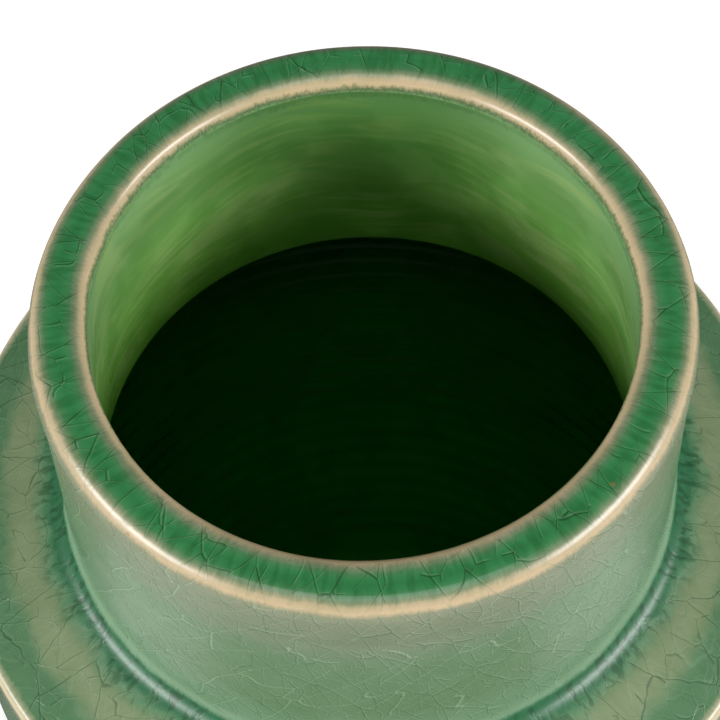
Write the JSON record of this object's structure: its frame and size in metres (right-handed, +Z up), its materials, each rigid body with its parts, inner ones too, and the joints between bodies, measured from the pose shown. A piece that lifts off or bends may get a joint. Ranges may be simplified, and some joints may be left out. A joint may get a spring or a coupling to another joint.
{
  "type": "ginger jar",
  "caption": "Open ginger jar in green crackle-glazed stoneware: thick rounded lip, tall upright neck, flat sloping shoulder and a tapering body on a bare foot ring.",
  "frame": {"origin": "centre of the plane that the foot ring stands on", "axes": "+Z up along the wheel axis, towards the mouth; X and Y are level and alike, because the jar is round"},
  "size_m": [0.177, 0.177, 0.25],
  "materials": {
    "stoneware": "matte",
    "slip": "matte",
    "outer_glaze": "gloss",
    "inner_glaze": "gloss"
  },
  "bodies": {
    "root": {"foot_ring": "stoneware", "floor_disc": "stoneware", "lower_wall": "stoneware", "upper_wall": "stoneware", "shoulder_ring": "stoneware", "neck_collar": "stoneware", "lip_ring": "stoneware", "foot_slip": "slip", "floor_slip": "slip", "waist_slip": "slip", "shoulder_slip": "slip", "neck_slip": "slip", "lip_slip": "slip", "outer_glaze": "outer_glaze", "inner_glaze": "inner_glaze", "base_glaze": "inner_glaze"}
  },
  "joints": []
}
